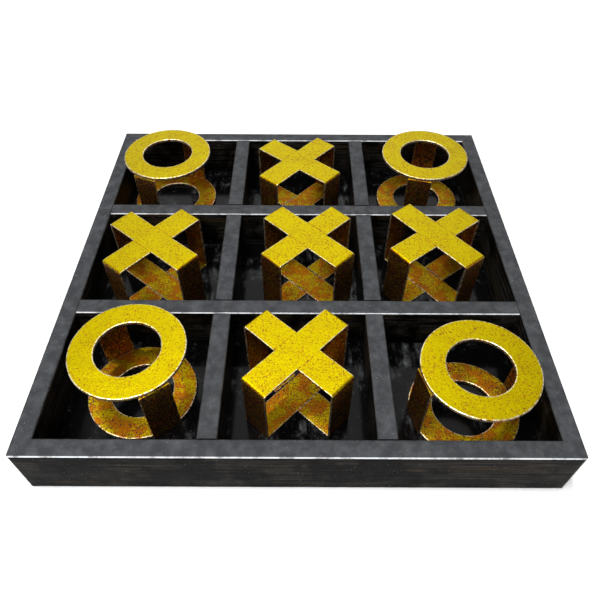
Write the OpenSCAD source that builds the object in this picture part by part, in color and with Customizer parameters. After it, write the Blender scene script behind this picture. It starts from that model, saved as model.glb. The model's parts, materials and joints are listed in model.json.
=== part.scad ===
// Tic tac toe set: a square painted wooden tray of nine cells, five X pieces made of a strap folded
// into a loop with a folded bracket on each side, and four O pieces made of two plate rings held
// apart by two flat legs.
// Millimetres, +Z up. The origin is the centre of the tray's underside, and the players' front is -Y.

/* [Tray] */
// Width and depth of the square tray, over its rails
tray_w = 305; // [260:1:380]
// Height of the tray
tray_h = 37.5; // [30:0.5:50]
// Thickness of the four rails
rail_t = 11.2; // [9:0.1:16]
// Thickness of the dividers between the cells
divider_t = 11.8; // [9:0.1:16]
// How much narrower the middle row of cells is than the outer rows
middle_trim = 1.8; // [0:0.1:4]
// Thickness of the base board, which is the floor of the cells
base_t = 7; // [5:0.5:10]
// Width of the rabbet under each rail that the base board sits in
rabbet_w = 5.5; // [4:0.1:7]
// Rounding of the long edges of the rails and dividers
edge_r = 1.5; // [0.5:0.1:2.5]
// Rounding of the tray's four upright corners
corner_r = 3; // [1:0.5:5]

/* [Tray fixings] */
// Diameter of the dowels that hold the rails together at the corners
dowel_d = 5; // [4:0.5:6]
// Depth of a dowel's hole in the front or back rail
dowel_in_rail = 8; // [5:0.5:8]
// Depth of a dowel's hole in the end of a side rail
dowel_in_end = 16; // [10:1:30]
// Shank diameter of the base screws
screw_d = 3.5; // [2.5:0.5:4.5]
// Head diameter of the base screws
screw_head_d = 7; // [6:0.5:9]
// Height of a base screw's countersunk head
screw_head_h = 2.6; // [2:0.1:4]
// How far a base screw reaches up into a divider
screw_bite = 11; // [8:1:16]
// How far a screw's head lies above the tray's underside
screw_sink = 0.3; // [0.1:0.1:1]
// Length of one arm of the cross recess in a screw's head
recess_l = 4.2; // [2:0.1:5]
// Width of one arm of the cross recess
recess_w = 1.1; // [0.6:0.1:1.5]
// Depth of the cross recess
recess_h = 1.3; // [0.8:0.1:1.8]

/* [All playing pieces] */
// Height of every playing piece
piece_h = 46; // [36:0.1:60]
// Width of the metal strap
strap_w = 18.3; // [14:0.1:24]
// Thickness of the metal strap
strap_t = 1.2; // [0.8:0.1:3]
// Outside radius of the strap's folds
fold_r = 1.6; // [1:0.1:5]
// Smallest inside radius of the strap's folds
fold_inside_min = 0.4; // [0.2:0.1:1]
// Gap always left between a piece and the sides of its cell
wall_gap = 0.6; // [0.5:0.1:2]

/* [X pieces] */
// Gap between a straight X in the middle of the middle cell and the cell's sides
x_gap = 11.4; // [6:0.1:16]

/* [O pieces] */
// Gap between an O in the middle of the middle cell and the cell's sides
o_gap = 8.9; // [5:0.1:14]
// Diameter of the hole in each ring
hole_d = 38; // [28:0.1:46]
// Thickness of the two rings
ring_t = 2.2; // [1:0.1:4]

/* [Where the pieces lie] */
// Each one is: share of the free gap towards +X and towards +Y (-1 to 1), then the turn in degrees.
// An X's turn is that of its loop from the diagonal that runs from the front left to the back right.
// An O's turn is the direction from its centre to its near leg.
// X in the middle cell
x_center_place = [0.57, 0.26, 90.2];
// X in the front middle cell
x_front_place = [-0.04, 0.31, 1.5];
// X in the back middle cell
x_back_place = [-0.05, -0.72, 4.1];
// X in the left middle cell
x_left_place = [-0.09, -0.21, 95];
// X in the right middle cell
x_right_place = [-0.36, 0.51, 83.3];
// O in the front left corner
o_front_left_place = [0.10, 0.54, -54];
// O in the front right corner
o_front_right_place = [0.50, -0.90, -165];
// O in the back left corner
o_back_left_place = [-0.87, 0.17, -114];
// O in the back right corner
o_back_right_place = [0.31, 0.23, -104];

/* [Hidden] */
$fn = 64;

// Cutting tools reach this far past the faces that they cut through.
past = 1;

// Tray
inner_w = tray_w - 2 * rail_t;
outer_cell = (inner_w - 2 * divider_t + middle_trim) / 3;
middle_cell = outer_cell - middle_trim;
divider_at = (middle_cell + divider_t) / 2;
cell_pitch = (middle_cell + outer_cell) / 2 + divider_t;
board_w = inner_w + 2 * rabbet_w;
lap_z = (base_t + tray_h) / 2;
dowel_len = dowel_in_rail + dowel_in_end;
dowel_zs = [for (share = [0.3, 0.72]) base_t + share * (tray_h - base_t)];
screw_tip_z = base_t + screw_bite;

// X pieces: the cross lies on the diagonals of its cell
x_footprint = middle_cell - 2 * x_gap;
x_span = x_footprint * sqrt(2) - strap_w;
x_corner = sqrt(pow(x_span, 2) + pow(strap_w, 2)) / 2;
x_corner_angle = atan(strap_w / x_span);

// O pieces
ring_r = middle_cell / 2 - o_gap;
leg_corner = sqrt(pow(ring_r, 2) + pow(strap_w / 2, 2));
leg_inside = ring_r - strap_t;
leg_h = piece_h - ring_t;

fold_inside = max(fold_r - strap_t, fold_inside_min);

// How far a turn is from the nearest quarter turn, 0 to 45 degrees
function lean(turn) = abs(((turn + 45) % 90 + 90) % 90 - 45);
// How far an X with this turn reaches from its centre, along X or Y
function x_reach(turn) = x_corner * cos(45 - x_corner_angle - lean(turn));
// Half the width of the cell in column or row -1, 0 or 1
function half_cell(index) = (index == 0 ? middle_cell : outer_cell) / 2;
// Where a piece's centre is along one axis: its cell's centre, moved by a share of the free gap
function piece_at(index, share, reach) =
    index * cell_pitch + share * (half_cell(index) - reach - wall_gap);

module charcoal() { color([0.16, 0.165, 0.17]) children(); }
module gold() { color([0.83, 0.68, 0.12]) children(); }
module birch() { color([0.76, 0.62, 0.42]) children(); }
module zinc() { color([0.62, 0.63, 0.65]) children(); }

// ---------------------------------------------------------------- flat outlines

// Rectangle from the origin, with its four corners rounded to r
module rounded_rect(w, h, r) {
    translate([r, 0]) square([w - 2 * r, h]);
    translate([0, r]) square([w, h - 2 * r]);
    for (x = [r, w - r], y = [r, h - r]) translate([x, y]) circle(r);
}

// Rectangle centred on x, from y = 0, with its two upper corners rounded to r
module round_top_rect(w, h, r) {
    translate([-w / 2, 0]) square([w, h - r]);
    translate([-w / 2 + r, 0]) square([w - 2 * r, h]);
    for (side = [-1, 1]) translate([side * (w / 2 - r), h - r]) circle(r);
}

// Strap folded into a closed ring, seen from its side: centred on x, from y = 0 up
module strap_ring(length, height) {
    translate([-length / 2, 0]) difference() {
        rounded_rect(length, height, fold_r);
        translate([strap_t, strap_t])
            rounded_rect(length - 2 * strap_t, height - 2 * strap_t, fold_inside);
    }
}

// The end of such a ring beyond x = inner_end: a back and two flanges
module strap_bracket(length, height, inner_end) {
    intersection() {
        strap_ring(length, height);
        translate([inner_end, -past]) square([length / 2, height + 2 * past]);
    }
}

// ---------------------------------------------------------------- tray

// The tray's outer form, with every outer edge rounded
module tray_block() {
    intersection() {
        translate([-tray_w / 2, -tray_w / 2]) linear_extrude(tray_h) rounded_rect(tray_w, tray_w, corner_r);
        for_both_ways(tray_w + 2 * past) translate([-tray_w / 2, 0]) rounded_rect(tray_w, tray_h, edge_r);
    }
}

// Intersects an upright outline extruded along Y with the same outline extruded along X
module for_both_ways(length) {
    intersection() {
        along_y(length) children();
        rotate([0, 0, 90]) along_y(length) children();
    }
}

// Stands a flat outline up, with its y along Z, and extrudes it along Y, centred
module along_y(length) {
    translate([0, length / 2, 0]) rotate([90, 0, 0]) linear_extrude(length) children();
}

// The room inside the rails, flared at the top so that their inner edges are rounded
module inner_room() {
    for_both_ways(tray_w + 2 * past) difference() {
        translate([-inner_w / 2 - edge_r, -past]) square([inner_w + 2 * edge_r, tray_h + 2 * past]);
        for (side = [-1, 1]) translate([side * (inner_w / 2 + edge_r), 0]) inner_room_side();
    }
}

// What is left standing beside the room: a straight wall whose upper edge is a quarter round
module inner_room_side() {
    translate([-edge_r, -2 * past]) square([2 * edge_r, tray_h - edge_r + 2 * past]);
    translate([0, tray_h - edge_r]) circle(edge_r);
}

module base_board_blank() {
    translate([-board_w / 2, -board_w / 2, 0]) cube([board_w, board_w, base_t]);
}

module rails() {
    difference() {
        tray_block();
        inner_room();
        base_board_blank();
        all_dowels();
    }
}

// The front rail, or the back rail with side = 1. Both run the tray's whole width.
module full_rail(side) {
    charcoal() intersection() {
        rails();
        translate([-tray_w / 2 - past, side > 0 ? inner_w / 2 : -tray_w / 2 - past, -past])
            cube([tray_w + 2 * past, rail_t + past, tray_h + 2 * past]);
    }
}

// The left rail, or the right rail with side = 1. Both fit between the front and back rails.
module side_rail(side) {
    charcoal() intersection() {
        rails();
        translate([side > 0 ? inner_w / 2 : -tray_w / 2 - past, -inner_w / 2, -past])
            cube([rail_t + past, inner_w, tray_h + 2 * past]);
    }
}

module dowel() { rotate([90, 0, 0]) cylinder(h = dowel_len, d = dowel_d, center = true); }

module all_dowels() {
    dowel_y = inner_w / 2 + (dowel_in_rail - dowel_in_end) / 2;
    for (x = [-1, 1], y = [-1, 1], z = dowel_zs)
        translate([x * (tray_w - rail_t) / 2, y * dowel_y, z]) dowel();
}

module corner_dowels() { birch() all_dowels(); }

module divider_blank() {
    along_y(inner_w) translate([0, base_t]) round_top_rect(divider_t, tray_h - base_t, edge_r);
}

// The two lines where dividers stand, in either direction
module at_dividers() { for (side = [-1, 1]) translate([side * divider_at, 0, 0]) children(); }

// A divider that runs from front to back, notched from above
module long_divider(side) {
    charcoal() difference() {
        translate([side * divider_at, 0, 0]) divider_blank();
        rotate([0, 0, 90]) at_dividers() lap_notch(lap_z, tray_h + past);
        all_screws();
    }
}

// A divider that runs from side to side, notched from below, so its top is unbroken
module cross_divider(side) {
    charcoal() difference() {
        translate([0, side * divider_at, 0]) rotate([0, 0, 90]) divider_blank();
        at_dividers() lap_notch(base_t - past, lap_z);
        all_screws();
    }
}

module lap_notch(z_low, z_high) {
    translate([-divider_t / 2, -inner_w / 2 - past, z_low])
        cube([divider_t, inner_w + 2 * past, z_high - z_low]);
}

module base_board() {
    charcoal() difference() {
        base_board_blank();
        all_screws();
        for_each_screw() translate([0, 0, -past]) cylinder(h = past + screw_sink, d = screw_head_d);
    }
}

// Two screws under each divider, below the middles of its outer cells
module for_each_screw() {
    for (turn = [0, 90], a = [-1, 1], b = [-1, 1])
        rotate([0, 0, turn]) translate([a * divider_at, b * cell_pitch, 0]) children();
}

module screw_body() {
    translate([0, 0, screw_sink]) {
        cylinder(h = screw_head_h, d1 = screw_head_d, d2 = screw_d);
        cylinder(h = screw_tip_z - screw_sink, d = screw_d);
    }
}

module all_screws() { for_each_screw() screw_body(); }

module base_screws() {
    zinc() difference() {
        all_screws();
        for_each_screw() for (turn = [0, 90]) rotate([0, 0, turn])
            translate([-recess_l / 2, -recess_w / 2, screw_sink - past])
                cube([recess_l, recess_w, recess_h + past]);
    }
}

// ---------------------------------------------------------------- X pieces

// Moves an X to its place in the cell at this column and row, on the cell's floor
module place_x(column, row, place) {
    reach = x_reach(place[2]);
    translate([piece_at(column, place[0], reach), piece_at(row, place[1], reach), base_t])
        rotate([0, 0, 45 + place[2]]) children();
}

// The strap that is folded into a closed loop
module x_loop(column, row, place) {
    gold() place_x(column, row, place) along_y(strap_w) strap_ring(x_span, piece_h);
}

// A folded strap that butts against the loop's side, at the bottom and flush on top.
// The left bracket has side = 1 and the right one side = -1.
module x_bracket(column, row, place, side) {
    gold() place_x(column, row, place) rotate([0, 0, side * 90])
        along_y(strap_w) strap_bracket(x_span, piece_h, strap_w / 2);
}

// ---------------------------------------------------------------- O pieces

// Moves an O to its place in the cell at this column and row, on the cell's floor
module place_o(column, row, place) {
    translate([
        piece_at(column, place[0], leg_corner),
        piece_at(row, place[1], leg_corner),
        base_t
    ]) rotate([0, 0, place[2]]) children();
}

module ring_outline() {
    difference() {
        circle(ring_r);
        circle(d = hole_d);
    }
}

module o_top_ring(column, row, place) {
    gold() place_o(column, row, place) translate([0, 0, leg_h]) linear_extrude(ring_t) ring_outline();
}

// The bottom ring has a flat on its rim for each leg
module o_bottom_ring(column, row, place) {
    gold() place_o(column, row, place) linear_extrude(ring_t) difference() {
        ring_outline();
        for (side = [-1, 1])
            translate([side * (leg_inside + ring_r / 2), 0]) square(ring_r, center = true);
    }
}

// A flat strap that stands on the floor against the bottom ring's flat and carries the top ring.
// The near leg stands at the O's turn, the far one opposite.
module o_leg(column, row, place, opposite = 0) {
    gold() place_o(column, row, place) rotate([0, 0, opposite])
        translate([leg_inside, -strap_w / 2, 0]) cube([strap_t, strap_w, leg_h]);
}

// ---------------------------------------------------------------- what is drawn

base_board();
full_rail(-1);  // front_rail
full_rail(1);  // back_rail
side_rail(-1);  // left_rail
side_rail(1);  // right_rail
cross_divider(-1);  // front_cross_divider
cross_divider(1);  // back_cross_divider
long_divider(-1);  // left_long_divider
long_divider(1);  // right_long_divider
corner_dowels();
base_screws();

x_loop(0, 0, x_center_place);  // x_center_loop
x_bracket(0, 0, x_center_place, 1);  // x_center_left_bracket
x_bracket(0, 0, x_center_place, -1);  // x_center_right_bracket
x_loop(0, -1, x_front_place);  // x_front_loop
x_bracket(0, -1, x_front_place, 1);  // x_front_left_bracket
x_bracket(0, -1, x_front_place, -1);  // x_front_right_bracket
x_loop(0, 1, x_back_place);  // x_back_loop
x_bracket(0, 1, x_back_place, 1);  // x_back_left_bracket
x_bracket(0, 1, x_back_place, -1);  // x_back_right_bracket
x_loop(-1, 0, x_left_place);  // x_left_loop
x_bracket(-1, 0, x_left_place, 1);  // x_left_left_bracket
x_bracket(-1, 0, x_left_place, -1);  // x_left_right_bracket
x_loop(1, 0, x_right_place);  // x_right_loop
x_bracket(1, 0, x_right_place, 1);  // x_right_left_bracket
x_bracket(1, 0, x_right_place, -1);  // x_right_right_bracket

o_top_ring(-1, -1, o_front_left_place);  // o_front_left_top_ring
o_bottom_ring(-1, -1, o_front_left_place);  // o_front_left_bottom_ring
o_leg(-1, -1, o_front_left_place);  // o_front_left_near_leg
o_leg(-1, -1, o_front_left_place, 180);  // o_front_left_far_leg
o_top_ring(1, -1, o_front_right_place);  // o_front_right_top_ring
o_bottom_ring(1, -1, o_front_right_place);  // o_front_right_bottom_ring
o_leg(1, -1, o_front_right_place);  // o_front_right_near_leg
o_leg(1, -1, o_front_right_place, 180);  // o_front_right_far_leg
o_top_ring(-1, 1, o_back_left_place);  // o_back_left_top_ring
o_bottom_ring(-1, 1, o_back_left_place);  // o_back_left_bottom_ring
o_leg(-1, 1, o_back_left_place);  // o_back_left_near_leg
o_leg(-1, 1, o_back_left_place, 180);  // o_back_left_far_leg
o_top_ring(1, 1, o_back_right_place);  // o_back_right_top_ring
o_bottom_ring(1, 1, o_back_right_place);  // o_back_right_bottom_ring
o_leg(1, 1, o_back_right_place);  // o_back_right_near_leg
o_leg(1, 1, o_back_right_place, 180);  // o_back_right_far_leg
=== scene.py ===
"""The looks of the tic tac toe set: antique gold X and O pieces in a painted wooden tray.

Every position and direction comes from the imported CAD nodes. Lengths are in metres.
"""

import json
import math
import random

import bpy
import numpy as np
from mathutils import Matrix, Vector, noise


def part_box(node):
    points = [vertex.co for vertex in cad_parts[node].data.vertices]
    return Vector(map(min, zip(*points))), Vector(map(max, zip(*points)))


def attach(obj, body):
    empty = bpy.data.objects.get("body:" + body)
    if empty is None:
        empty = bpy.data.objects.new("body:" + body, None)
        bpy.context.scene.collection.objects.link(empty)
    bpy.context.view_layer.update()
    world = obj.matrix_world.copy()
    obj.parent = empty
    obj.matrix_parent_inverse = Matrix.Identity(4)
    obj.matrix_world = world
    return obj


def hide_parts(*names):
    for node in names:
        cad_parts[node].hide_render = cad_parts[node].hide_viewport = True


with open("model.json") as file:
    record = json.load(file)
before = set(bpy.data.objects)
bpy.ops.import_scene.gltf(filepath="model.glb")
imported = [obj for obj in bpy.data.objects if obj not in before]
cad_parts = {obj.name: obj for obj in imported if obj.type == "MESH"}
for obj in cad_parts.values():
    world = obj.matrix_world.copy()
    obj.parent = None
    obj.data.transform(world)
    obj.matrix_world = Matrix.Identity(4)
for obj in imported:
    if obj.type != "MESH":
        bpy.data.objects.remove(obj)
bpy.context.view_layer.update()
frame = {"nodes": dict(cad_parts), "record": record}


MM = 0.001
UP = Vector((0, 0, 1))
SEED = 9

# Metal strap and plates, as in the CAD
STRAP_T = 1.2 * MM
FOLD_MIDDLE_R = 1.0 * MM
HOLE_R = 19.0 * MM

# How the metal is worn and worked
STRAP_ARRIS = 0.3 * MM
RING_ARRIS = 0.55 * MM
ARRIS_BORDER = 0.3 * MM
BUTTED_ARRIS = 0.02 * MM
TAB_LENGTH = 0.8 * MM
TAB_INSET = 0.2 * MM
STATION_STEP = 1.2 * MM
FOLD_STEPS = 6
RING_STEPS = 120
WAVE_HEIGHT = 0.13 * MM
WAVE_PER_M = 110
RIPPLE_HEIGHT = 0.05 * MM
RIPPLE_PER_M = 420
MOVED_STATIONS = 3
WELD_STEP = 0.45 * MM
WELD_R = 0.38 * MM
WIDE_SEAM = 0.4
WIDE_SEAM_WELD_R = 0.55 * MM
O_WELD_R = 0.45 * MM
CAMERA_AT = (0.0007, -0.2813, 0.3089)

X_BODIES = ("x_center", "x_front", "x_back", "x_left", "x_right")
O_BODIES = ("o_front_left", "o_front_right", "o_back_left", "o_back_right")

# Gap and raggedness of an X's two bottom seams, left and right of its loop, in mm
X_SEAMS = {
    "x_front": ((0.55, 0.55), (0.12, 0.10)),
    "x_center": ((0.18, 0.15), (0.30, 0.12)),
    "x_right": ((0.16, 0.25), (0.30, 0.10)),
    "x_left": ((0.10, 0.08), (0.22, 0.12)),
    "x_back": ((0.22, 0.10), (0.10, 0.08)),
}


# ---------------------------------------------------------------- materials

class Shader:
    """A procedural material, built with short calls that return output sockets."""

    def __init__(self, name, **constants):
        self.material = bpy.data.materials.new(name)
        self.material.use_nodes = True
        self.tree = self.material.node_tree
        self.bsdf = self.tree.nodes["Principled BSDF"]
        self.coords = self.tree.nodes.new("ShaderNodeTexCoord").outputs["Object"]
        for socket, value in constants.items():
            self.bsdf.inputs[socket.replace("_", " ")].default_value = value

    def put(self, value, socket):
        if isinstance(value, bpy.types.NodeSocket):
            self.tree.links.new(value, socket)
        else:
            socket.default_value = value

    def output(self, socket, value):
        self.put(value, self.bsdf.inputs[socket])

    def attribute(self, name):
        node = self.tree.nodes.new("ShaderNodeAttribute")
        node.attribute_name = name
        return node.outputs["Fac"]

    def facing(self, axis):
        """How far the surface faces along this axis of the row frame, -1 to 1."""
        geometry = self.tree.nodes.new("ShaderNodeNewGeometry")
        split = self.tree.nodes.new("ShaderNodeSeparateXYZ")
        self.put(geometry.outputs["Normal"], split.inputs[0])
        return split.outputs[axis]

    def noise(self, per_m, detail=3.0, roughness=0.55, stretch=(1, 1, 1)):
        mapping = self.tree.nodes.new("ShaderNodeMapping")
        mapping.inputs["Scale"].default_value = stretch
        self.put(self.coords, mapping.inputs["Vector"])
        node = self.tree.nodes.new("ShaderNodeTexNoise")
        node.inputs["Scale"].default_value = per_m
        node.inputs["Detail"].default_value = detail
        node.inputs["Roughness"].default_value = roughness
        self.put(mapping.outputs[0], node.inputs["Vector"])
        return node.outputs["Fac"]

    def math(self, operation, a, b):
        node = self.tree.nodes.new("ShaderNodeMath")
        node.operation = operation
        self.put(a, node.inputs[0])
        self.put(b, node.inputs[1])
        return node.outputs[0]

    def step(self, value, low, high, to_low=0.0, to_high=1.0):
        """Rises smoothly from to_low to to_high while value goes from low to high."""
        node = self.tree.nodes.new("ShaderNodeMapRange")
        node.interpolation_type = "SMOOTHSTEP"
        self.put(value, node.inputs["Value"])
        limits = {"From Min": low, "From Max": high, "To Min": to_low, "To Max": to_high}
        for name, number in limits.items():
            node.inputs[name].default_value = number
        return node.outputs["Result"]

    def blend(self, factor, a, b):
        node = self.tree.nodes.new("ShaderNodeMix")
        node.data_type = "RGBA"
        self.put(factor, node.inputs["Factor"])
        for value, socket in ((a, node.inputs["A"]), (b, node.inputs["B"])):
            colour_socket = [s for s in node.inputs if s.name == socket.name and s.type == "RGBA"][0]
            self.put((*value, 1.0) if isinstance(value, tuple) else value, colour_socket)
        return [s for s in node.outputs if s.type == "RGBA"][0]

    def bump(self, height, distance, under=None):
        node = self.tree.nodes.new("ShaderNodeBump")
        node.inputs["Distance"].default_value = distance
        self.put(height, node.inputs["Height"])
        if under is not None:
            self.put(under, node.inputs["Normal"])
        return node.outputs[0]


def antique_gold():
    """Speckled gold over brown. The darkening attribute browns it, partly the patina of the antique finish
    and partly painted shade on upright faces and low parts; 'edge' pales it to metal, partly wear and
    partly a painted highlight.
    """
    gold, ochre, amber = (0.58, 0.475, 0.001), (0.46, 0.26, 0.003), (0.50, 0.14, 0.004)
    brown, worn = (0.008, 0.004, 0.002), (0.95, 0.92, 0.72)
    s = Shader("antique_gold")
    patina_and_shade, edge = s.attribute("patina_and_shade"), s.attribute("edge")
    speckle = s.noise(1100, 3, 0.75)
    mottle = s.noise(620, 4, 0.7)
    cloud = s.noise(80, 3, 0.6)
    stain = s.noise(130, 4, 0.65)

    # Gold shows where this level is high. The darkening attribute lowers it, partly for patina and partly
    # as painted shade, so that brown and amber show instead.
    level = s.math("ADD", s.math("MULTIPLY", speckle, 0.95), s.math("MULTIPLY", mottle, 0.35))
    level = s.math("SUBTRACT", level, s.step(patina_and_shade, 0.04, 0.18, 0.122, 0.155))
    level = s.math("ADD", level, s.math("MULTIPLY", s.math("SUBTRACT", cloud, 0.5), 0.14))
    level = s.math("SUBTRACT", level, s.math("MULTIPLY", patina_and_shade, 0.23))
    shows_amber = s.step(level, 0.36, 0.41)
    colour = s.blend(shows_amber, brown, amber)
    colour = s.blend(s.step(level, 0.375, 0.42), colour, ochre)
    colour = s.blend(s.step(level, 0.44, 0.53), colour, gold)
    # Amber and brown blotches only on the low up-facing parts marked by the darkening attribute: partly
    # stains, partly painted shade under the top of each piece.
    stain_and_shade_zone = s.step(patina_and_shade, 0.04, 0.25, 0.0, 0.95)
    stain_and_shade = s.math("MULTIPLY", stain_and_shade_zone, s.step(stain, 0.45, 0.56))
    colour = s.blend(stain_and_shade, colour, s.blend(shows_amber, brown, amber))
    # Pale metal along the edges, partly wear and partly a painted highlight, stronger on the tops than on
    # the darker upright faces.
    edge_wear_and_highlight = s.math("MULTIPLY", s.step(edge, 0.4, 1.0), s.step(mottle, 0.42, 0.58))
    lit_side = s.step(patina_and_shade, 0.15, 0.45, 0.95, 0.25)
    colour = s.blend(s.math("MULTIPLY", edge_wear_and_highlight, lit_side), colour, worn)
    s.output("Base Color", colour)
    s.output("Metallic", s.step(shows_amber, 0.0, 1.0, 0.5, 1.0))
    s.output("Roughness", s.step(level, 0.28, 0.62, 0.50, 0.38))
    pits = s.bump(speckle, 0.08 * MM)
    s.output("Normal", s.bump(mottle, 0.14 * MM, pits))
    return s.material


def charcoal_paint(name, stretch, streaks):
    """Satin charcoal paint on wood whose grain runs where stretch is small.

    It is paler where it faces up, a painted sheen; it has dust specks all over; and it is pale along the
    arrises that face the players, a painted highlight broken up by scuffs.
    """
    s = Shader(name, Specular_IOR_Level=0.015)
    grain = s.noise(900, 4, 0.6, stretch)
    streak = s.noise(230, 4, 0.65, stretch)
    scuff = s.noise(130, 5, 0.7)
    dust = s.noise(1000, 2, 0.5)
    upward = s.facing("Z")
    top = s.step(upward, 0.80, 0.98)
    # Up-facing faces are a paler grey than the rest: a painted sheen, standing in for the satin paint's
    # reflection of the bright room.
    lit = s.blend(s.step(scuff, 0.36, 0.72), (0.036, 0.038, 0.041), (0.066, 0.069, 0.073))
    dark = s.blend(s.step(grain, 0.40, 0.64), (0.0006, 0.0006, 0.0006), (0.026, 0.024, 0.021))
    dark = s.blend(s.math("MULTIPLY", s.step(streak, 0.50, 0.66), streaks), dark, (0.026, 0.017, 0.008))
    shade = s.step(s.noise(38, 3, 0.6), 0.42, 0.58, 0.0, 0.9)
    dark = s.blend(shade, dark, (0.0006, 0.0006, 0.0006))
    colour = s.blend(top, dark, lit)
    colour = s.blend(s.step(dust, 0.70, 0.77), colour, (0.16, 0.16, 0.155))
    # Pale paint along the arrises that face the front: a painted highlight, broken up by scuffs.
    arris = s.math("MULTIPLY", s.step(upward, 0.52, 0.68), s.step(upward, 0.86, 0.95, 1.0, 0.0))
    towards_front = s.step(s.facing("Y"), -0.45, -0.10, 1.0, 0.05)
    front_arris = s.math("MULTIPLY", arris, towards_front)
    edge_wear_and_highlight = s.math("MULTIPLY", front_arris, s.step(scuff, 0.34, 0.56, 0.35, 1.0))
    s.output("Base Color", s.blend(edge_wear_and_highlight, colour, (0.62, 0.63, 0.65)))
    s.output("Roughness", s.step(scuff, 0.3, 0.7, 0.30, 0.44))
    s.output("Normal", s.bump(grain, 0.07 * MM, s.bump(scuff, 0.08 * MM)))
    return s.material


def floor_paint():
    """Glossier black paint, dulled by smears of dust and by specks."""
    s = Shader("painted_floor", Specular_IOR_Level=0.13)
    smear = s.noise(34, 5, 0.7)
    wipe = s.noise(260, 4, 0.65, (1, 0.3, 1))
    speck = s.noise(1150, 2, 0.5)
    dust = s.math("MULTIPLY", s.step(smear, 0.48, 0.68), s.step(wipe, 0.40, 0.72))
    colour = s.blend(dust, (0.0015, 0.0015, 0.0017), (0.085, 0.088, 0.090))
    colour = s.blend(s.step(speck, 0.72, 0.78), colour, (0.20, 0.19, 0.18))
    s.output("Base Color", colour)
    s.output("Roughness", s.step(dust, 0.0, 0.8, 0.12, 0.40))
    s.output("Normal", s.bump(wipe, 0.04 * MM))
    return s.material


def bare_birch():
    s = Shader("bare_birch", Roughness=0.6)
    grain = s.noise(1400, 4, 0.6, (1, 0.05, 1))
    s.output("Base Color", s.blend(s.step(grain, 0.35, 0.65), (0.60, 0.43, 0.24), (0.42, 0.27, 0.13)))
    s.output("Normal", s.bump(grain, 0.08 * MM))
    return s.material


def zinc_steel():
    s = Shader("zinc_steel", Metallic=1.0)
    cloud = s.noise(700, 4, 0.6)
    s.output("Base Color", s.blend(s.step(cloud, 0.35, 0.65), (0.50, 0.51, 0.53), (0.68, 0.68, 0.67)))
    s.output("Roughness", s.step(cloud, 0.3, 0.7, 0.28, 0.5))
    s.output("Normal", s.bump(cloud, 0.03 * MM))
    return s.material


def pale_floor():
    s = Shader("pale_floor", Roughness=0.8)
    s.output("Base Color", s.blend(s.noise(6, 3), (0.86, 0.86, 0.86), (0.90, 0.90, 0.90)))
    return s.material


# ---------------------------------------------------------------- swept metal

def wavy(point):
    """The point moved by the small unevenness of hand-worked metal, the same field for every piece."""
    wave = noise.noise_vector(point * WAVE_PER_M) * WAVE_HEIGHT
    ripple = noise.noise_vector(point * RIPPLE_PER_M) * RIPPLE_HEIGHT
    return point + wave + ripple


def strap_section(width, thickness, arris, columns=9, arc_steps=3):
    """Outline of a strap's cross-section: (across, outward, how much of an edge it is)."""
    border = arris + ARRIS_BORDER
    inner = [(i / columns - 0.5) * (width - 2 * border) for i in range(columns + 1)]
    edge = min(1.0, arris / STRAP_ARRIS)
    outline = []
    for side_a, side_b, first in ((1, 1, 0), (-1, 1, 90), (-1, -1, 180), (1, -1, 270)):
        middle = (side_a * (width / 2 - arris), side_b * (thickness / 2 - arris))
        for i in range(arc_steps + 1):
            turn = math.radians(first + 90 * i / arc_steps)
            outline.append((middle[0] + arris * math.cos(turn), middle[1] + arris * math.sin(turn), edge))
        if first in (0, 180):
            outline += [(-side_a * across, side_b * thickness / 2, 0.0) for across in inner]
    return outline


def sweep(stations, closed):
    """Vertices, faces and edge weights of sections placed at (origin, across, outward, section)."""
    points, edges = [], []
    size = len(stations[0][3])
    for origin, across, outward, section in stations:
        for a, b, edge in section:
            points.append(origin + across * a + outward * b)
            edges.append(edge)
    faces = []
    for i in range(len(stations) if closed else len(stations) - 1):
        first, second = i * size, (i + 1) % len(stations) * size
        for j in range(size):
            k = (j + 1) % size
            faces.append((first + j, first + k, second + k, second + j))
    if not closed:
        faces.append(tuple(reversed(range(size))))
        faces.append(tuple(range((len(stations) - 1) * size, len(stations) * size)))
    return points, faces, edges


def run_points(start, end, steps):
    return [start.lerp(end, i / steps) for i in range(steps + 1)]


def folded_path(corners, closed):
    """(point, outward direction) along straight runs joined by square folds. Corners go clockwise."""
    arcs = []
    for i, corner in enumerate(corners):
        before, after = corners[i - 1], corners[(i + 1) % len(corners)]
        if not closed and i in (0, len(corners) - 1):
            run = (after - corner if i == 0 else corner - before).normalized()
            arcs.append([(corner, Vector((-run.y, run.x)))])
            continue
        into, out = (corner - before).normalized(), (after - corner).normalized()
        middle = corner + (out - into) * FOLD_MIDDLE_R
        arc = []
        for j in range(FOLD_STEPS + 1):
            turn = math.radians(90 * j / FOLD_STEPS)
            outward = into * math.sin(turn) - out * math.cos(turn)
            arc.append((middle + outward * FOLD_MIDDLE_R, outward))
        arcs.append(arc)
    path = []
    for i, arc in enumerate(arcs):
        path += arc
        if i == len(arcs) - 1 and not closed:
            break
        start, end = arc[-1][0], arcs[(i + 1) % len(arcs)][0][0]
        steps = max(2, round((end - start).length / STATION_STEP))
        path += [(p, arc[-1][1]) for p in run_points(start, end, steps)[1:-1]]
    return path


class Pose:
    """Where a strap stands: its centre on the cell's floor and the direction that it runs in."""

    def __init__(self, centre, along):
        self.centre, self.along = centre, along
        self.across = UP.cross(along)

    def lift(self, point):
        return self.centre + self.along * point.x + UP * point.y

    def turned(self):
        return Pose(self.centre, self.across)

    def flipped(self):
        return Pose(self.centre, -self.along)

    def station(self, point, outward, section):
        return self.lift(point), self.across, self.along * outward.x + UP * outward.y, section


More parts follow.
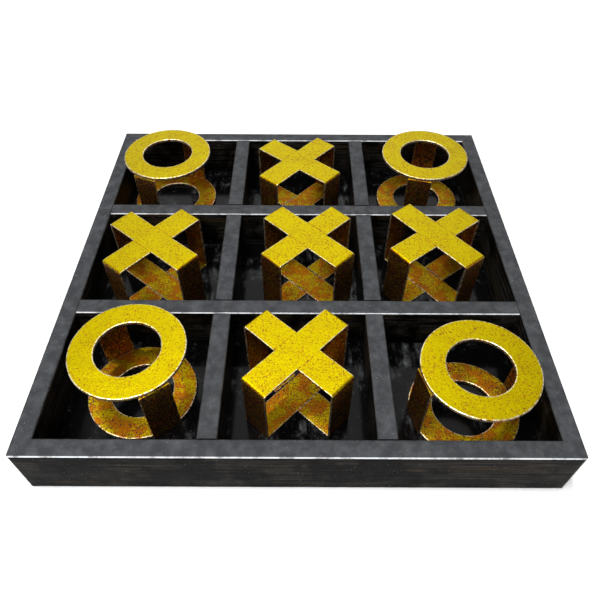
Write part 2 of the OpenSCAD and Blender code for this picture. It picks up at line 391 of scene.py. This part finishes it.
def measure(node, centre, along):
    """Lowest and highest corner of a CAD node, measured along a strap, across it and upwards."""
    points = np.array([v.co for v in frame["nodes"][node].data.vertices]) - np.array(centre)
    axes = np.array([along, UP.cross(along), UP])
    local = points @ axes.T
    return Vector(local.min(0)), Vector(local.max(0))


def flat_mean(node):
    """Middle of a CAD node in plan, from its vertices, with z at the node's lowest point."""
    points = np.array([v.co for v in frame["nodes"][node].data.vertices])
    return Vector((*points.mean(0)[:2], points[:, 2].min()))


def long_axis(node):
    """The direction in plan in which a CAD node is longest."""
    points = np.array([v.co for v in frame["nodes"][node].data.vertices])[:, :2]
    vectors = np.linalg.eigh(np.cov((points - points.mean(0)).T))[1]
    x, y = vectors[:, 1]
    return Vector((x, y, 0)) * (1 if x > 0 else -1)


# ---------------------------------------------------------------- making pieces

def patina_and_shade_at(points, faces, floor_z, top_z):
    """How dark each vertex is: little on top faces, more on the bottom, most on the upright faces. This is
    partly the patina of the antique finish and partly painted shade where less light reaches.
    """
    facing = [Vector() for _ in points]
    for face in faces:
        a, b, c = (points[face[i]] for i in (0, 1, 2))
        normal = (b - a).cross(c - a).normalized()
        for i in face:
            facing[i] += normal
    shades = []
    for point, normal in zip(points, facing):
        up = normal.normalized().z
        depth = 1 - (point.z - floor_z) / (top_z - floor_z)
        # Upright and downward faces get the most; up-facing faces darken towards the floor. This is painted
        # shade, with some patina.
        shades.append(0.62 * (1 - max(up, 0)) + 0.22 * depth * max(up, 0))
    return shades


def add_piece(name, body, node, swept, heights, material):
    """Makes an object from a sweep, with its attributes for edge wear and painted highlight and for patina
    and painted shade, riding on its body in place of its node.
    """
    points, faces, edges = swept
    shades = patina_and_shade_at(points, faces, *heights)
    mesh = bpy.data.meshes.new(name)
    mesh.from_pydata([wavy(p) for p in points], [], faces)
    mesh.materials.append(material)
    for attribute, values in (("edge", edges), ("patina_and_shade", shades)):
        mesh.attributes.new(attribute, "FLOAT", "POINT").data.foreach_set("value", values)
    mesh.shade_smooth()
    mesh.set_sharp_from_angle(angle=math.radians(50))
    piece = bpy.data.objects.new(name, mesh)
    bpy.context.scene.collection.objects.link(piece)
    weighted = piece.modifiers.new("weighted_normals", "WEIGHTED_NORMAL")
    weighted.keep_sharp = True
    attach(piece, body)
    if node:
        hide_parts(node)
    return piece


def flush_arris(distance, reach):
    """The arris along a loop's top: none where a bracket butts against it."""
    return BUTTED_ARRIS if abs(distance) < reach else STRAP_ARRIS


def loop_sweep(pose, length, width, height):
    """A strap folded into a closed loop. Its top has square edges where the brackets butt flush."""
    half, low, high = (length - STRAP_T) / 2, STRAP_T / 2, height - STRAP_T / 2
    corners = [Vector(c) for c in ((half, high), (half, low), (-half, low), (-half, high))]
    stations = []
    for point, outward in folded_path(corners, True):
        arris = flush_arris(point.x, width / 2 - 0.2 * MM) if outward.y > 0.99 else STRAP_ARRIS
        stations.append(pose.station(point, outward, strap_section(width, STRAP_T, arris)))
    return sweep(stations, True)


def bracket_sweep(pose, length, width, height, seam, seed):
    """A folded strap that butts flush on top, and at the bottom leaves a ragged seam."""
    half, low, high = (length - STRAP_T) / 2, STRAP_T / 2, height - STRAP_T / 2
    inner = width / 2
    corners = [Vector(c) for c in ((inner, high), (half, high), (half, low), (inner, low))]
    path = folded_path(corners, False)
    stations = []
    tab = strap_section(width - 2 * TAB_INSET, STRAP_T - 2 * TAB_INSET, STRAP_ARRIS)
    start, facing = path[0]
    stations.append(pose.station(start - Vector((TAB_LENGTH, 0)), facing, tab))
    stations.append(pose.station(start, facing, tab))
    stations.append(pose.station(start, facing, strap_section(width, STRAP_T, BUTTED_ARRIS)))
    near_butt = STRAP_T / 2
    for point, outward in path[1:]:
        at_top = outward.y > 0.99 and point.x < inner + near_butt
        arris = STRAP_ARRIS * min(1, (point.x - inner) / near_butt + 0.04) if at_top else STRAP_ARRIS
        stations.append(pose.station(point, outward, strap_section(width, STRAP_T, arris)))
    end, facing = path[-1]
    worn = strap_section(width - STRAP_ARRIS, STRAP_T - 2 * STRAP_ARRIS, STRAP_ARRIS * 0.6)
    stations.append(pose.station(end, facing, worn))
    points, faces, edges = sweep(stations, False)
    gap, raggedness = (x * MM for x in seam)
    size = len(worn)
    for i in range(MOVED_STATIONS * size):
        index = len(points) - 1 - i
        ring = i // size
        share = 1.0 if ring < 2 else 0.4
        across = (points[index] - pose.centre).dot(pose.across)
        grain = noise.noise(Vector((across * 900, seed, 0.3)))
        grain += 0.5 * noise.noise(Vector((across * 2200, seed, 7.1)))
        step_back = gap + raggedness * grain + (STRAP_ARRIS * 0.7 if ring == 1 else 0)
        points[index] = points[index] + pose.along * max(step_back, 0.03 * MM) * share
        if ring < 2:
            edges[index] = 1.0
    return points, faces, edges


def weld_sweep(start, end, radius, seed):
    """A short bead of weld: an uneven ridge with tapered ends."""
    along = (end - start).normalized()
    across = UP.cross(along)
    steps = max(6, round((end - start).length / WELD_STEP))
    stations = []
    for i in range(steps + 1):
        share = i / steps
        swell = math.sin(math.pi * min(max(share, 0.03), 0.97)) ** 0.5
        puddle = 0.75 + 0.25 * math.cos(2 * math.pi * share * steps / 3 + seed)
        size = radius * swell * puddle * (1 + 0.35 * noise.noise(Vector((share * 9, seed, 2.0))))
        turn = [math.radians(36 * j) for j in range(10)]
        section = [(size * 1.25 * math.cos(t), size * math.sin(t), 0.35) for t in turn]
        drift = across * (0.35 * radius * noise.noise(Vector((share * 7, seed, 9.0))))
        stations.append((start + (end - start) * share + drift, across, UP, section))
    return sweep(stations, False)


def build_x(body, gold, rng):
    """An X: one closed loop of strap, a bracket on each side, and the welds at its bottom seams."""
    loop_node = body + "_loop"
    centre = flat_mean(loop_node)
    along = long_axis(loop_node)
    low, high = measure(loop_node, centre, along)
    length, width, height = high.x - low.x, high.y - low.y, high.z - low.z
    centre += along * (low.x + high.x) / 2 + UP.cross(along) * (low.y + high.y) / 2
    heights = (centre.z, centre.z + height)
    pose = Pose(centre, along)
    loop = loop_sweep(pose, length, width, height)
    add_piece(body + "_strap_loop", body, loop_node, loop, heights, gold)
    for side, seam in zip(("left", "right"), X_SEAMS[body]):
        node = f"{body}_{side}_bracket"
        beside = pose.turned()
        if (flat_mean(node) - centre).dot(beside.along) < 0:
            beside = beside.flipped()
        seed = rng.random() * 50
        swept = bracket_sweep(beside, length, width, height, seam, seed)
        add_piece(f"{body}_strap_{side}", body, node, swept, heights, gold)
        weld_radius = WIDE_SEAM_WELD_R if seam[0] > WIDE_SEAM else WELD_R
        for share in (-0.86, rng.uniform(-0.2, 0.5)):
            middle = beside.centre + beside.along * width / 2 + beside.across * (share * width / 2)
            middle += UP * (STRAP_T - 0.25 * MM)
            reach = beside.across * rng.uniform(0.7, 1.8) * MM
            bead = weld_sweep(middle - reach, middle + reach, weld_radius, rng.random() * 50)
            name = f"{body}_weld_{side}_{'a' if share < -0.5 else 'b'}"
            add_piece(name, body, None, bead, heights, gold)


def ring_sweep(centre, first, inner_r, outer_r, flat, thickness):
    """A plate ring whose rim is cut flat at this distance, towards first and opposite."""
    side = UP.cross(first)
    stations = []
    for i in range(RING_STEPS):
        turn = -2 * math.pi * i / RING_STEPS
        across = first * math.cos(turn) + side * math.sin(turn)
        rim = min(outer_r, flat / max(abs(math.cos(turn)), 0.01))
        section = strap_section(rim - inner_r, thickness, RING_ARRIS, columns=8)
        origin = centre + across * (inner_r + rim) / 2 + UP * thickness / 2
        stations.append((origin, across, UP, section))
    return sweep(stations, True)


def leg_sweep(pose, middle, width, height):
    """A flat strap that stands upright at this distance from the O's centre."""
    ends = (STRAP_ARRIS, height - STRAP_ARRIS)
    full = strap_section(width, STRAP_T, STRAP_ARRIS)
    worn = strap_section(width - 2 * STRAP_ARRIS, STRAP_T - 2 * STRAP_ARRIS, STRAP_ARRIS * 0.5)
    top, bottom = Vector((middle, height)), Vector((middle, 0))
    facing = Vector((1, 0))
    stations = [pose.station(top, facing, worn)]
    steps = round(height / STATION_STEP)
    run = run_points(Vector((middle, ends[1])), Vector((middle, ends[0])), steps)
    stations += [pose.station(point, facing, full) for point in run]
    stations.append(pose.station(bottom, facing, worn))
    return sweep(stations, False)


def build_o(body, gold, rng):
    """An O: a top ring on two legs, a bottom ring with a flat where each leg stands, and the welds."""
    low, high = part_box(body + "_bottom_ring")
    centre = flat_mean(body + "_bottom_ring")
    legs = {side: flat_mean(f"{body}_{side}_leg") for side in ("near", "far")}
    centre.xy = (legs["near"].xy + legs["far"].xy) / 2
    plate_t = high.z - low.z
    top_low, top_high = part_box(body + "_top_ring")
    reach, heights = (top_high.x - top_low.x) / 2, (low.z, top_high.z)
    first = (legs["near"] - centre).xy.normalized()
    flat = measure(body + "_bottom_ring", centre, Vector((*first, 0)))[1].x
    for level, z, rim_flat in (("bottom", low.z, flat), ("top", top_low.z, reach)):
        start = Vector((centre.x, centre.y, z))
        swept = ring_sweep(start, Vector((*first, 0)), HOLE_R, reach, rim_flat, plate_t)
        add_piece(f"{body}_plate_{level}", body, f"{body}_{level}_ring", swept, heights, gold)
    for side, middle in legs.items():
        along = Vector((*(middle - centre).xy.normalized(), 0))
        pose = Pose(Vector((centre.x, centre.y, low.z)), along)
        low_corner, high_corner = measure(f"{body}_{side}_leg", pose.centre, along)
        width = high_corner.y - low_corner.y
        swept = leg_sweep(pose, (low_corner.x + high_corner.x) / 2, width, high_corner.z)
        add_piece(f"{body}_leg_{side}", body, f"{body}_{side}_leg", swept, heights, gold)
        for i in range(2):
            root = pose.centre + along * (low_corner.x - 0.1 * MM) + UP * (plate_t + 0.05 * MM)
            root += pose.across * rng.uniform(-0.4, 0.3) * width
            tip = root + pose.across * rng.uniform(1.5, 3.5) * MM
            bead = weld_sweep(root, tip, O_WELD_R, rng.random() * 50)
            add_piece(f"{body}_weld_{side}_{i + 1}", body, None, bead, heights, gold)


def paint_tray():
    """Gives every CAD node of the tray its material, with the grain along each piece of wood."""
    along_x = charcoal_paint("painted_wood_x", (0.03, 1, 1), 0.9)
    along_y = charcoal_paint("painted_wood_y", (1, 0.03, 1), 0.5)
    finishes = {"base_board": floor_paint(), "corner_dowels": bare_birch(), "base_screws": zinc_steel()}
    for node in frame["record"]["behaviour"]["bodies"]["tray"]:
        runs_in_x = any(word in node for word in ("front_", "back_"))
        finish = finishes.get(node, along_x if runs_in_x else along_y)
        for material_slot in frame["nodes"][node].material_slots:
            material_slot.material = finish


# ---------------------------------------------------------------- camera, light and floor

def place_camera():
    """The viewpoint: in front of the tray and above it, looking down at just under 50 degrees."""
    azimuth, down, roll = (math.radians(x) for x in (0.118, 48.69, 0.341))
    view = Vector((math.sin(azimuth) * math.cos(down), math.cos(azimuth) * math.cos(down), -math.sin(down)))
    right = Vector((math.cos(azimuth), -math.sin(azimuth), 0))
    up = right.cross(view)
    right, up = right * math.cos(roll) + up * math.sin(roll), up * math.cos(roll) - right * math.sin(roll)
    data = bpy.data.cameras.new("camera")
    data.lens, data.sensor_width = 33.36, 36.0
    camera = bpy.data.objects.new("camera", data)
    bpy.context.scene.collection.objects.link(camera)
    turn = Matrix((right, up, -view)).transposed().to_4x4()
    camera.matrix_world = Matrix.Translation(CAMERA_AT) @ turn
    bpy.context.scene.camera = camera


def add_light(name, kind, azimuth, elevation, distance, power, size):
    """A light that looks at the tray from this compass azimuth (0 is behind it) and elevation."""
    data = bpy.data.lights.new(name, kind)
    data.energy = power
    if kind == "SUN":
        data.angle = math.radians(size)
    else:
        data.size = size
    a, e = math.radians(azimuth), math.radians(elevation)
    towards = Vector((math.sin(a) * math.cos(e), math.cos(a) * math.cos(e), math.sin(e)))
    light = bpy.data.objects.new(name, data)
    bpy.context.scene.collection.objects.link(light)
    light.location = towards * distance
    light.rotation_euler = towards.to_track_quat("Z", "Y").to_euler()


def light_scene():
    world = bpy.data.worlds.new("studio")
    bpy.context.scene.world = world
    world.use_nodes = True
    background = world.node_tree.nodes["Background"]
    background.inputs["Color"].default_value = (1.0, 1.0, 1.0, 1.0)
    background.inputs["Strength"].default_value = 0.34
    add_light("key", "SUN", -75, 80, 1.0, 1.1, 2.5)
    add_light("front_left_softbox", "AREA", -150, 64, 1.1, 12.0, 0.62)
    add_light("back_softbox", "AREA", 0, 50, 1.7, 7.5, 1.5)
    bpy.context.scene.view_settings.view_transform = "Standard"


def lay_floor():
    """A large pale floor, just below the tray's underside."""
    size, cells = 4.0, 16
    points, faces = [], []
    for i in range(cells + 1):
        for j in range(cells + 1):
            points.append(((i / cells - 0.5) * size, (j / cells - 0.5) * size, -0.0002))
    for i in range(cells):
        for j in range(cells):
            corner = i * (cells + 1) + j
            faces.append((corner, corner + cells + 1, corner + cells + 2, corner + 1))
    mesh = bpy.data.meshes.new("studio_floor")
    mesh.from_pydata(points, [], faces)
    mesh.materials.append(pale_floor())
    floor = bpy.data.objects.new("studio_floor", mesh)
    bpy.context.scene.collection.objects.link(floor)


place_camera()
light_scene()
lay_floor()
paint_tray()
gold_material = antique_gold()
rng = random.Random(SEED)
noise.seed_set(SEED)  # noise_vector would otherwise take its offsets from the clock
for x_body in X_BODIES:
    build_x(x_body, gold_material, rng)
for o_body in O_BODIES:
    build_o(o_body, gold_material, rng)

bpy.context.view_layer.update()
